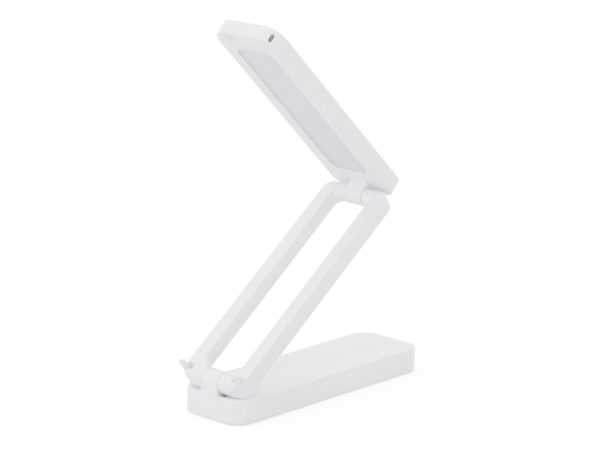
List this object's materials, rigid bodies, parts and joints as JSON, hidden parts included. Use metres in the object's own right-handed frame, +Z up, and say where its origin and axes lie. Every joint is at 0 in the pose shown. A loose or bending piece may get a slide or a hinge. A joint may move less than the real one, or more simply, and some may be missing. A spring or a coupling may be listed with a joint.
{
  "type": "folding led desk lamp",
  "caption": "Rechargeable white folding desk lamp: flat base bar, ring-shaped arm and light panel head on two friction hinges.",
  "frame": {"origin": "middle of the anti-slip mat's underside, on the table", "axes": "+Z up, +X from the hinge end of the base to its socket end, +Y across the base; the head opens above the base in the XZ plane"},
  "size_m": [0.1626, 0.0468, 0.2234],
  "materials": {
    "white_shell": "satin moulded white",
    "inner_white": "satin moulded white",
    "diffuser": "milky lavender white, finely matte",
    "clear_plastic": "clear moulded",
    "reflector": "matte white film",
    "steel": "nickel plated",
    "washer": "bronze, dull",
    "rubber_grey": "pale grey, matte",
    "foam": "dark closed-cell foam",
    "battery_foil": "laminated foil, semi-matte",
    "tape": "double-sided tape",
    "board_green": "solder-mask green",
    "board_white": "solder-mask white",
    "chip_black": "moulded black",
    "chip_yellow": "phosphor yellow",
    "copper_wire": "gold plated",
    "lead_black": "insulated wire"
  },
  "bodies": {
    "base": {"base_top_shell": "white_shell", "base_bottom_cover": "inner_white", "anti_slip_mat": "rubber_grey", "base_screws": "steel", "ballast_plate": "steel", "battery_cell": "battery_foil", "battery_tape": "tape", "circuit_board": "board_green", "board_components": "chip_black", "charging_socket": "steel", "charge_light_pipe": "clear_plastic", "touch_spring": "copper_wire", "base_lead": "lead_black"},
    "arm": {"arm_frame": "white_shell", "rail_covers": "inner_white", "rail_cover_screws": "steel", "lower_hinge_pin": "steel", "lower_friction_washers": "washer", "upper_hinge_pin": "steel", "upper_friction_washers": "washer", "arm_lead": "lead_black"},
    "head": {"head_bezel": "white_shell", "head_back_shell": "white_shell", "diffuser": "diffuser", "light_guide": "clear_plastic", "reflector_sheet": "reflector", "led_strip_board": "board_white", "led_chips": "chip_yellow", "foam_strips": "foam", "head_lead": "lead_black"}
  },
  "joints": [
    {"name": "arm_fold", "type": "hinge", "parent": "base", "child": "arm", "pos_m": [-0.0742, 0, 0.0218], "axis": [0, -1, 0], "range_deg": [-36.9, 58.1]},
    {"name": "head_fold", "type": "hinge", "parent": "arm", "child": "head", "pos_m": [0.04425, 0, 0.10986], "axis": [0, 1, 0], "range_deg": [-80.3, 9.7]}
  ]
}
